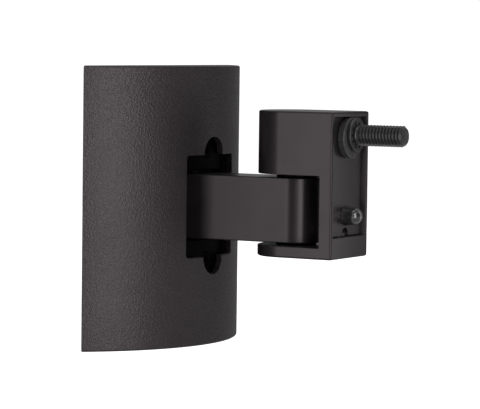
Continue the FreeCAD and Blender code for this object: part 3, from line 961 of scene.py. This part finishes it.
def lock_screw_levels():
    """Heights of the two lock screws."""
    return screw_levels("lock_screws", round_box("lock_screws")[2])


def jaws():
    """Heights of the lower and upper jaw face, which the washers lie against."""
    play = bpy.context.scene.bracket_arm.jaw_play
    return (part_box("wall_lower_washer")[0].z - play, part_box("wall_upper_washer")[1].z + play)


def block_outline(settings, low, high):
    """Outline of the block from above: a flat back, and a bow that follows the cover."""
    radius, centre_x = cover_bow()
    reach = radius - bpy.context.scene.bracket_cover.wall - settings.block_gap

    def outline(inset):
        half = high.y - inset
        back = low.x + inset
        turn = math.asin(half / (reach - inset))
        front = arc(centre_x, 0.0, reach - inset, -turn, turn, 24)
        for end, side in ((0, -half), (-1, half)):
            blunt = min(settings.block_corner, (front[end][0] - back) / 2)
            front[end] = (front[end][0] - blunt, side)
        return [(back, -half)] + front + [(back, half)]
    return outline


def make_block(settings):
    """The cast block whose jaws hold the arm's pivot pin."""
    low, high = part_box("pivot_block")
    block = upright_prism("block_casting", block_outline(settings, low, high), low.z, high.z,
                          settings.block_edge, 4)
    lower, upper = jaws()
    cuts = [box_solid("slot", (low.x + settings.block_web, low.y - CUT_PAST, lower),
                      (high.x + WIDE_CUT, high.y + CUT_PAST, upper)),
            bore_z(settings.pin_radius + RUNNING_PLAY, low.z - CUT_PAST, high.z + CUT_PAST, WALL_PIVOT)]
    hole = settings.screw_radius + SCREW_PLAY
    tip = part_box("block_screws")[1].x
    cuts += [bore_x(hole, WALL_PIVOT.x, high.x + CUT_PAST, level) for level in lock_screw_levels()]
    cuts += [bore_x(hole, low.x - CUT_PAST, tip, level) for level in block_screw_levels()]
    carve(block, cuts)
    ease_edges(block, BLOCK_BREAK)
    # Painted shade: the block gets the near-black dull finish because it lies in shadow.
    return dress(block, "wall", "pivot_block", block_painted_shade())


def screw_pair(name, node, levels, profile, socket, finish):
    """A pair of screws along X, each with its hex socket between two depths, as one piece."""
    screws = []
    flats, start, end = socket
    for level in levels:
        screw = turned_x(name, profile, 0.0, level)
        carve(screw, [prism_x("socket", hexagon(0.0, level, flats), start, end)])
        screws.append(screw)
    pair = screws[0]
    join(pair, screws[1:])
    smooth_turned(pair)
    return dress(pair, "wall", node, finish)


def make_block_screws(settings):
    """The countersunk screws behind the plate, which hold the block."""
    low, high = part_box("block_screws")
    head = settings.screw_head_radius
    shank = settings.screw_radius
    edge = BLOCK_SCREW_EDGE
    profile = soften([(low.x, head - edge), (low.x + edge, head), (head - shank, shank),
                      (high.x, shank)], edge)
    socket = (BLOCK_KEY, low.x - CUT_PAST, low.x + BLOCK_KEY_DEPTH)
    return screw_pair("block_screw_set", "block_screws", block_screw_levels(), profile, socket, oiled_steel())


def make_lock_screws(settings):
    """The lock screws behind the window's lobes."""
    low, high, radius, _ = round_box("lock_screws")
    profile = [(low.x, radius - LOCK_POINT), (low.x + LOCK_POINT, radius), (high.x - LOCK_RIM, radius),
               (high.x, radius - LOCK_RIM)]
    socket = (settings.lock_key, high.x - LOCK_KEY_DEPTH, high.x + CUT_PAST)
    # Painted shade: the lock screws get the near-black dull finish because they lie in shadow.
    return screw_pair("lock_screw_set", "lock_screws", lock_screw_levels(), profile, socket, block_painted_shade())


def make_arm(settings):
    """The arm, with a full round at each pivot."""
    low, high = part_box("arm")

    def outline(inset):
        radius = high.y - inset
        return (arc(HEAD_PIVOT.x, 0.0, radius, -QUARTER_TURN, QUARTER_TURN, 48)
                + arc(WALL_PIVOT.x, 0.0, radius, QUARTER_TURN, 3 * QUARTER_TURN, 48))

    arm = upright_prism("arm_casting", outline, low.z, high.z, settings.edge_round, 6)
    head = bpy.context.scene.bracket_head
    bush_radius = head.pivot_radius + RUNNING_PLAY + head.bush_wall
    bottom = low.z - CUT_PAST
    top = high.z + CUT_PAST
    carve(arm, [bore_z(settings.pin_radius, bottom, top, WALL_PIVOT),
                bore_z(bush_radius, bottom, top, HEAD_PIVOT)])
    ease_edges(arm, 0.0)
    return dress(arm, "arm", "arm", arm_paint())


def turned_ring(name, profile, place):
    """A ring about an upright axis, with rounded corners."""
    ring = turned_z(name, soften(profile, WASHER_CORNER, 3, closed=True), place, hollow=True)
    smooth_turned(ring)
    return ring


def make_washers(settings):
    """Washers between the arm and the block's jaws."""
    for node in ("wall_upper_washer", "wall_lower_washer"):
        low, high, outer, _ = round_box(node)
        inner = settings.pin_radius + RUNNING_PLAY
        profile = [(low.z, inner), (low.z, outer), (high.z, outer), (high.z, inner)]
        washer = turned_ring(node.replace("wall_", "pivot_"), profile, WALL_PIVOT)
        # Painted shade: the washers get the near-black dull finish because they lie in shadow.
        dress(washer, "wall", node, block_painted_shade())


def make_bushes(settings):
    """Flanged bushes in the arm's far end."""
    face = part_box("arm")[1].z
    for node, side in (("head_upper_bush", 1), ("head_lower_bush", -1)):
        low, high, outer, _ = round_box(node)
        inner = settings.pivot_radius + RUNNING_PLAY
        sleeve = inner + settings.bush_wall
        tip, rim = (low.z, high.z) if side > 0 else (high.z, low.z)
        profile = [(tip, inner), (tip, sleeve), (side * face, sleeve), (side * face, outer), (rim, outer),
                   (rim, inner)]
        bush = turned_ring(node.replace("head_", "arm_"), profile, HEAD_PIVOT)
        # Painted shade: the bushes get the near-black dull finish because they lie in the notch's shadow.
        dress(bush, "arm", node, block_painted_shade())


def arch_outline(settings, ledge_top):
    """Small arch at the foot of the front plate."""
    half = settings.arch_width / 2
    foot = ledge_top - ARCH_FOOT
    crown = arc(0.0, ledge_top + settings.arch_height - half, half, 0, math.pi, 16)
    return [(half, foot)] + crown + [(-half, foot)]


def head_outline(settings, front, half_width):
    """Outline of the head from above: square in front, round at its back."""
    corner = settings.edge_round

    def outline(inset):
        half = half_width - inset
        middle = front - inset - corner
        right = arc(middle, half - corner, corner, 0, QUARTER_TURN, 5)
        left = arc(middle, -half + corner, corner, -QUARTER_TURN, 0, 5)
        back = arc(HEAD_PIVOT.x, 0.0, half, QUARTER_TURN, 3 * QUARTER_TURN, 64)
        return left + right + back
    return outline


def notch_cutter(settings, low, high):
    """Cutter for the notch: nearly square at the head's sides, and rounder inside."""
    bottom, top = jaws()
    back = low.x - WIDE_CUT
    spine = high.x - settings.spine
    side_view = rectangle(back, bottom, spine, top)
    mouth = settings.notch_mouth
    blend = NOTCH_BLEND * mouth
    places = ((low.y - CUT_PAST, mouth), (low.y + mouth, mouth), (low.y + blend, settings.notch_round),
              (high.y - blend, settings.notch_round), (high.y - mouth, mouth), (high.y + CUT_PAST, mouth))
    return skin("notch", [[(x, across, z) for x, z in soften(side_view, corner, 6, closed=True)]
                          for across, corner in places])


def pocket_cutter(settings, low, high):
    """Cutter for the pocket, whose sides slope outwards in front of its plate."""
    plate_low, plate_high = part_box("front_insert")
    slope = settings.pocket_flare / (high.x - plate_high.x)
    rings = []
    for along in (plate_low.x, plate_high.x, high.x + CUT_PAST):
        half = high.y - settings.rim + max(along - plate_high.x, 0.0) * slope
        opening = rectangle(-half, low.z + settings.ledge, half, high.z - settings.rim_top)
        rings.append([(along, y, z) for y, z in soften(opening, POCKET_CORNER, 3, closed=True)])
    return skin("pocket", rings)


def head_bores(settings, low, high):
    """Cutters for the pivot screw's and the speaker screw's stepped holes."""
    pivot = settings.pivot_radius + SCREW_PLAY
    sink = settings.pivot_head_radius - settings.pivot_radius
    pivot_top = jaws()[1] + settings.pivot_bite
    pivot_hole = turned_z("bore", [(low.z - CUT_PAST, pivot + sink), (low.z, pivot + sink),
                                   (low.z + sink, pivot), (pivot_top, pivot)], HEAD_PIVOT)
    screw = bpy.context.scene.bracket_screw
    screw_low, _, head_radius, _ = round_box("speaker_screw")
    washer_low, washer_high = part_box("spring_washer")
    seat = screw_low.x + screw.head_length + washer_high.x - washer_low.x
    wide = head_radius + HEAD_HOLE_PLAY
    screw_hole = turned_x("bore", [(low.x - CUT_PAST, wide), (seat, wide), (seat, screw.hole_radius),
                                   (high.x, screw.hole_radius)], 0.0, SCREW_AXIS.z)
    return [pivot_hole, screw_hole]


def pin_bore(start, end):
    """Cutter for the hole of the locating pin's stem."""
    radius = bpy.context.scene.bracket_screw.pin_stem_radius + SCREW_PLAY
    return bore_x(radius, start, end, round_box("locating_pin")[3])


def make_head(settings):
    """The cast head, with its notch for the arm and its rimmed pocket."""
    low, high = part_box("head_housing")
    head = upright_prism("head_casting", head_outline(settings, high.x, high.y), low.z, high.z,
                         settings.edge_round, 6)
    back = high.x - settings.spine - CUT_PAST
    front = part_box("front_insert")[0].x + CUT_PAST
    carve(head, [notch_cutter(settings, low, high), pocket_cutter(settings, low, high)])
    carve(head, head_bores(settings, low, high))
    carve(head, [pin_bore(back, front),
                 prism_x("arch", arch_outline(settings, low.z + settings.ledge), back, front)])
    ease_edges(head, HEAD_BREAK)
    return dress(head, "head", "head_housing", head_paint())


def make_front_plate(settings):
    """The thin plate on the floor of the head's pocket."""
    low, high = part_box("front_insert")
    back = low.x - CUT_PAST
    front = high.x + CUT_PAST
    face = soften(rectangle(low.y, low.z, high.y, high.z), POCKET_CORNER, 3, closed=True)
    plate = prism_x("pocket_plate", face, low.x, high.x)
    carve(plate, [bore_x(bpy.context.scene.bracket_screw.hole_radius, back, front, SCREW_AXIS.z),
                  pin_bore(back, front),
                  prism_x("arch", arch_outline(settings, low.z - settings.plate_gap), back, front)])
    ease_edges(plate, PLATE_BREAK, 2)
    return dress(plate, "head", "front_insert", plate_paint())


def make_pivot_screw(settings):
    """The countersunk socket screw that joins the head to the arm."""
    low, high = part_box("head_pivot_screw")
    head = settings.pivot_head_radius
    shank = settings.pivot_radius
    profile = [(low.z, head - PIVOT_CHAMFER), (low.z + PIVOT_CHAMFER, head - PIVOT_RIM),
               (low.z + head - shank, shank), (high.z - PIVOT_POINT, shank), (high.z, shank - PIVOT_POINT)]
    screw = turned_z("pivot_screw", profile, HEAD_PIVOT)
    key = hexagon(HEAD_PIVOT.x, 0.0, settings.pivot_key)
    carve(screw, [skin("socket", [[(x, y, height) for x, y in key]
                                  for height in (low.z - CUT_PAST, low.z + PIVOT_KEY_DEPTH)])])
    smooth_turned(screw)
    return dress(screw, "head", "head_pivot_screw", oiled_steel())


def thread_radius(settings, along, turn, start, end):
    """Radius of the thread's surface at a distance along it and a share of a turn."""
    phase = (along / settings.pitch - turn) % 1.0
    crest, flank, root = THREAD_SHARES
    if phase < crest:
        depth = 0.0
    elif phase < crest + flank:
        depth = (phase - crest) / flank
    elif phase < crest + flank + root:
        depth = 1.0
    else:
        depth = (1.0 - phase) / flank
    radius = settings.thread_radius - min(depth, 1.0) * settings.thread_depth
    run_in = min(max((along - start) / settings.pitch, 0.0), 1.0)
    radius = settings.shank_radius + (radius - settings.shank_radius) * run_in
    return min(radius, settings.thread_radius - settings.chamfer + (end - along))


def screw_thread(settings, start, end):
    """The screw's threaded part, a true helix."""
    rings = []
    for along in spread(start, end, round((end - start) / settings.pitch * ROWS_PER_TURN)):
        ring = []
        for step in range(ROUND_STEPS):
            radius = thread_radius(settings, along, step / ROUND_STEPS, start, end)
            turn = FULL_TURN * step / ROUND_STEPS
            ring.append((along, radius * math.cos(turn), SCREW_AXIS.z + radius * math.sin(turn)))
        rings.append(ring)
    return skin("thread", rings)


def make_speaker_screw(settings):
    """The speaker screw: socket head, plain shank and thread."""
    low, high, head, _ = round_box("speaker_screw")
    ring_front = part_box("tooth_ring")[1].x
    head_end = low.x + settings.head_length - SEAT_GAP
    chamfer = settings.chamfer
    profile = soften([(low.x, head - chamfer), (low.x + chamfer, head), (head_end, head),
                      (head_end, settings.shank_radius), (ring_front, settings.shank_radius)],
                     SCREW_CORNER)
    screw = turned_x("socket_screw", profile, 0.0, SCREW_AXIS.z)
    carve(screw, [prism_x("socket", hexagon(0.0, SCREW_AXIS.z, settings.key), low.x - CUT_PAST,
                          low.x + settings.key_depth)])
    join(screw, [screw_thread(settings, ring_front, high.x)])
    smooth_turned(screw, STEEP_ANGLE)
    return dress(screw, "screw", "speaker_screw", oiled_steel())


def make_spacer(settings):
    """The round spacer below the rim, with its offset bore."""
    low, high, radius, middle = round_box("stud_spacer")
    edge = settings.spacer_edge
    profile = soften([(low.x, radius - edge), (low.x + edge, radius), (high.x - edge, radius),
                      (high.x, radius - edge)], SPACER_CORNER)
    spacer = turned_x("spacer_disc", profile, 0.0, middle)
    carve(spacer, [bore_x(settings.hole_radius, low.x - CUT_PAST, high.x + CUT_PAST, SCREW_AXIS.z)])
    ease_edges(spacer, SPACER_BREAK, 2, STEEP_ANGLE)
    # Painted light: the spacer gets the paler steel, which stands in for light that the rim keeps off it.
    return dress(spacer, "head", "stud_spacer", spacer_steel_painted_light())


def ring_teeth(settings, inner, front):
    """The teeth of the ring, each with a narrower and slightly sunken tip."""
    tip = settings.shank_radius + TOOTH_GAP
    root = inner + settings.ring_wall / 2
    half = settings.tooth_width / 2
    teeth = []
    for number in range(settings.teeth):
        turn = Matrix.Rotation(FULL_TURN * number / settings.teeth, 3, "X")
        ends = []
        for radius, face, side in ((tip, front - TOOTH_SLOPE, half * TOOTH_TAPER), (root, front, half)):
            back = face - TOOTH_THICKNESS
            corners = [(face, -side), (face, side), (back, side), (back, -side)]
            ends.append([turn @ Vector((x, y, radius)) + Vector((0, 0, SCREW_AXIS.z)) for x, y in corners])
        teeth.append(skin("tooth", ends))
    return teeth


def make_tooth_ring(settings):
    """The push-on ring whose teeth grip the screw."""
    low, high, outer, _ = round_box("tooth_ring")
    inner = outer - settings.ring_wall
    profile = soften([(low.x, inner), (low.x, outer), (high.x, outer), (high.x, inner)],
                     RING_CORNER, 4, closed=True)
    ring = turned_x("grip_ring", profile, 0.0, SCREW_AXIS.z, hollow=True)
    join(ring, ring_teeth(settings, inner, high.x - TOOTH_SINK))
    smooth_turned(ring)
    return dress(ring, "screw", "tooth_ring", oiled_steel())


def make_locating_pin(settings):
    """The domed locating pin on its stem."""
    low, high, base, middle = round_box("locating_pin")
    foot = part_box("front_insert")[1].x
    stem = settings.pin_stem_radius
    tip = settings.pin_tip_radius
    profile = [(low.x, stem), (foot, stem), (foot, base - PIN_EDGE), (foot + PIN_EDGE, base)]
    profile += [(high.x - tip + tip * math.sin(turn), tip * math.cos(turn))
                for turn in spread(*DOME_TURN)]
    pin = turned_x("domed_pin", profile, 0.0, middle)
    smooth_turned(pin)
    gloss = finish_once("Pin nylon", glossy_nylon, settings.nylon)
    return dress(pin, "head", "locating_pin", gloss)


def finish_hidden():
    """The inner pieces keep their own shape and get the finish of their kind."""
    for node in ("wall_pivot_pin", "spring_washer", "pin_nut"):
        mesh = frame["nodes"][node].data
        mesh.materials.clear()
        mesh.materials.append(oiled_steel())


# Studio

def aim(thing, place, target):
    """Put a light or the camera in its place and turn it to a point."""
    thing.location = place
    thing.rotation_euler = (Vector(target) - Vector(place)).to_track_quat("-Z", "Y").to_euler()


def add_camera(settings):
    """Camera at the photograph's angle."""
    data = bpy.data.cameras.new("Camera")
    data.lens = settings.lens
    data.sensor_width = 36.0
    data.clip_start = 0.01
    data.clip_end = 50.0
    camera = linked("Camera", data)
    line = Vector(settings.target) - Vector(settings.camera)
    camera.rotation_mode = "QUATERNION"
    camera.location = settings.camera
    camera.rotation_quaternion = (line.to_track_quat("-Z", "Y").to_matrix()
                                  @ Matrix.Rotation(settings.roll, 3, "Z")).to_quaternion()
    bpy.context.scene.camera = camera


def add_panel_light(name, power, azimuth, distance, height, size, along=ARM_MIDDLE):
    """Soft panel at an azimuth in degrees from the front, round a point along the arm."""
    width, tall = size
    data = bpy.data.lights.new(name, "AREA")
    data.shape = "RECTANGLE"
    data.size = width
    data.size_y = tall
    data.energy = power * math.pi * width * tall
    light = linked(name, data)
    light.visible_camera = False
    turn = math.radians(azimuth)
    middle = Vector((along, 0.0, 0.0))
    place = middle + Vector((math.sin(turn) * distance, -math.cos(turn) * distance, height))
    aim(light, place, middle)


def add_floor(settings):
    """Plain pale floor, bright to the camera and soft as a light."""
    corners = [(x, y, -settings.floor_drop)
               for x, y in rectangle(-FLOOR_HALF, -FLOOR_HALF, FLOOR_HALF, FLOOR_HALF)]
    mesh = bpy.data.meshes.new("floor")
    mesh.from_pydata(corners, [], [(0, 1, 2, 3)])
    floor = linked("floor", mesh)
    material = bpy.data.materials.new("Floor")
    material.use_nodes = True
    tree = Tree(material.node_tree.nodes, material.node_tree.links)
    shader = tree.nodes["Principled BSDF"]
    shader.inputs["Base Color"].default_value = (0.8, 0.8, 0.8, 1.0)
    shader.inputs["Roughness"].default_value = 0.9
    shader.inputs["Emission Color"].default_value = WHITE
    seen = tree.put("ShaderNodeLightPath").outputs["Is Camera Ray"]
    tree.join(tree.remap(seen, 0.0, 1.0, FLOOR_GLOW, SEEN_BRIGHTNESS), shader.inputs["Emission Strength"])
    mesh.materials.append(material)


def add_world(settings):
    """White backdrop behind the bracket, dim at its sides."""
    world = bpy.data.worlds.new("Studio")
    bpy.context.scene.world = world
    world.use_nodes = True
    tree = Tree(world.node_tree.nodes, world.node_tree.links)
    tree.nodes.clear()
    way = tree.put("ShaderNodeTexCoord").outputs["Generated"]
    away = tree.put("ShaderNodeVectorMath", {"operation": "DOT_PRODUCT"}, _0=way,
                    _1=BACKDROP_WAY).outputs["Value"]
    behind = tree.remap(away, 0.66, 0.93)
    upward = tree.put("ShaderNodeSeparateXYZ", Vector=way).outputs["Z"]
    above = tree.remap(upward, 0.35, 0.95, 0.0, OVERHEAD)
    brighter = tree.math("MAXIMUM", tree.math("MULTIPLY", behind, settings.backdrop), above)
    glow = tree.math("ADD", brighter, AMBIENT)
    dim = tree.put("ShaderNodeBackground", Color=WHITE, Strength=glow)
    seen = tree.put("ShaderNodeBackground", Color=WHITE, Strength=SEEN_BRIGHTNESS)
    path = tree.put("ShaderNodeLightPath").outputs["Is Camera Ray"]
    mixed = tree.put("ShaderNodeMixShader", _0=path, _1=dim.outputs[0], _2=seen.outputs[0])
    tree.put("ShaderNodeOutputWorld", Surface=mixed.outputs[0])


def make_studio(settings):
    """Camera, floor, backdrop and soft panels."""
    add_camera(settings)
    add_floor(settings)
    add_world(settings)
    add_panel_light("Key panel", settings.key_light, azimuth=-21.5, distance=0.42, height=0.05,
                    size=(0.155, 0.42))
    add_panel_light("Cover panel", settings.cover_light, azimuth=52.0, distance=0.25, height=0.03,
                    size=(0.12, 0.28))
    add_panel_light("Side panel", settings.side_light, azimuth=136.0, distance=0.06, height=0.01,
                    size=(0.03, 0.08), along=HEAD_MIDDLE)
    add_panel_light("Pocket panel", settings.pocket_light, azimuth=16.0, distance=0.06, height=0.0,
                    size=(0.02, 0.09), along=HEAD_MIDDLE)
    add_panel_light("Top panel", settings.top_light, azimuth=10.0, distance=0.10, height=0.60,
                    size=(0.40, 0.30))
    view = bpy.context.scene.view_settings
    view.view_transform = "Standard"
    view.look = "None"
    view.exposure = 0.0
    view.gamma = 1.0


# Operators

class BRACKET_OT_cover(bpy.types.Operator):
    """Build the bowed wall cover"""
    bl_idname = "bracket.make_cover"
    bl_label = "Wall cover"

    def execute(self, context):
        make_cover(context.scene.bracket_cover)
        return {"FINISHED"}


class BRACKET_OT_plate(bpy.types.Operator):
    """Build the steel plate that is screwed to the wall"""
    bl_idname = "bracket.make_plate"
    bl_label = "Wall plate"

    def execute(self, context):
        make_plate(context.scene.bracket_plate)
        return {"FINISHED"}


class BRACKET_OT_block(bpy.types.Operator):
    """Build the pivot block and its screws"""
    bl_idname = "bracket.make_block"
    bl_label = "Pivot block"

    def execute(self, context):
        make_block(context.scene.bracket_arm)
        make_block_screws(context.scene.bracket_arm)
        make_lock_screws(context.scene.bracket_arm)
        return {"FINISHED"}


class BRACKET_OT_arm(bpy.types.Operator):
    """Build the arm"""
    bl_idname = "bracket.make_arm"
    bl_label = "Arm"

    def execute(self, context):
        make_arm(context.scene.bracket_arm)
        return {"FINISHED"}


class BRACKET_OT_washers(bpy.types.Operator):
    """Build the washers and bushes of both pivots"""
    bl_idname = "bracket.make_washers"
    bl_label = "Washers and bushes"

    def execute(self, context):
        make_washers(context.scene.bracket_arm)
        make_bushes(context.scene.bracket_head)
        return {"FINISHED"}


class BRACKET_OT_head(bpy.types.Operator):
    """Build the head, its front plate and its pivot screw"""
    bl_idname = "bracket.make_head"
    bl_label = "Head"

    def execute(self, context):
        make_head(context.scene.bracket_head)
        make_front_plate(context.scene.bracket_head)
        make_pivot_screw(context.scene.bracket_head)
        return {"FINISHED"}


class BRACKET_OT_speaker_screw(bpy.types.Operator):
    """Build the speaker screw, its spacer and its tooth ring"""
    bl_idname = "bracket.make_speaker_screw"
    bl_label = "Speaker screw"

    def execute(self, context):
        make_speaker_screw(context.scene.bracket_screw)
        make_spacer(context.scene.bracket_screw)
        make_tooth_ring(context.scene.bracket_screw)
        return {"FINISHED"}


class BRACKET_OT_locating_pin(bpy.types.Operator):
    """Build the domed locating pin"""
    bl_idname = "bracket.make_locating_pin"
    bl_label = "Locating pin"

    def execute(self, context):
        make_locating_pin(context.scene.bracket_screw)
        return {"FINISHED"}


class BRACKET_OT_hidden(bpy.types.Operator):
    """Give the inner pins, washer and nut their finish"""
    bl_idname = "bracket.finish_hidden"
    bl_label = "Inner pieces"

    def execute(self, context):
        finish_hidden()
        return {"FINISHED"}


class BRACKET_OT_studio(bpy.types.Operator):
    """Build the camera, the floor and the lights"""
    bl_idname = "bracket.make_studio"
    bl_label = "Studio"

    def execute(self, context):
        make_studio(context.scene.bracket_studio)
        return {"FINISHED"}


OPERATORS = (BRACKET_OT_cover, BRACKET_OT_plate, BRACKET_OT_block, BRACKET_OT_arm, BRACKET_OT_washers,
             BRACKET_OT_head, BRACKET_OT_speaker_screw, BRACKET_OT_locating_pin, BRACKET_OT_hidden,
             BRACKET_OT_studio)

SETTINGS = {
    "bracket_cover": CoverSettings,
    "bracket_plate": PlateSettings,
    "bracket_arm": ArmSettings,
    "bracket_head": HeadSettings,
    "bracket_screw": ScrewSettings,
    "bracket_studio": StudioSettings,
}


class BRACKET_PT_sidebar(bpy.types.Panel):
    """Lists the bracket's pieces and their sizes"""
    bl_idname = "BRACKET_PT_sidebar"
    bl_label = "Speaker wall bracket"
    bl_space_type = "VIEW_3D"
    bl_region_type = "UI"
    bl_category = "Bracket"

    def draw(self, context):
        for operator in OPERATORS:
            self.layout.operator(operator.bl_idname)
        for label in SETTINGS:
            settings = getattr(context.scene, label)
            box = self.layout.box()
            for name in settings.__annotations__:
                box.prop(settings, name)


def register():
    """Register the settings, the operators and the panel."""
    for label, settings in SETTINGS.items():
        bpy.utils.register_class(settings)
        setattr(bpy.types.Scene, label, PointerProperty(type=settings))
    for operator in OPERATORS:
        bpy.utils.register_class(operator)
    bpy.utils.register_class(BRACKET_PT_sidebar)


def unregister():
    """Take back what register did."""
    bpy.utils.unregister_class(BRACKET_PT_sidebar)
    for operator in reversed(OPERATORS):
        bpy.utils.unregister_class(operator)
    for label, settings in SETTINGS.items():
        delattr(bpy.types.Scene, label)
        bpy.utils.unregister_class(settings)


def main():
    """Build the bracket and its studio."""
    register()
    bpy.ops.bracket.make_cover()
    bpy.ops.bracket.make_plate()
    bpy.ops.bracket.make_block()
    bpy.ops.bracket.make_arm()
    bpy.ops.bracket.make_washers()
    bpy.ops.bracket.make_head()
    bpy.ops.bracket.make_speaker_screw()
    bpy.ops.bracket.make_locating_pin()
    bpy.ops.bracket.finish_hidden()
    bpy.ops.bracket.make_studio()


if __name__ == "__main__":
    main()
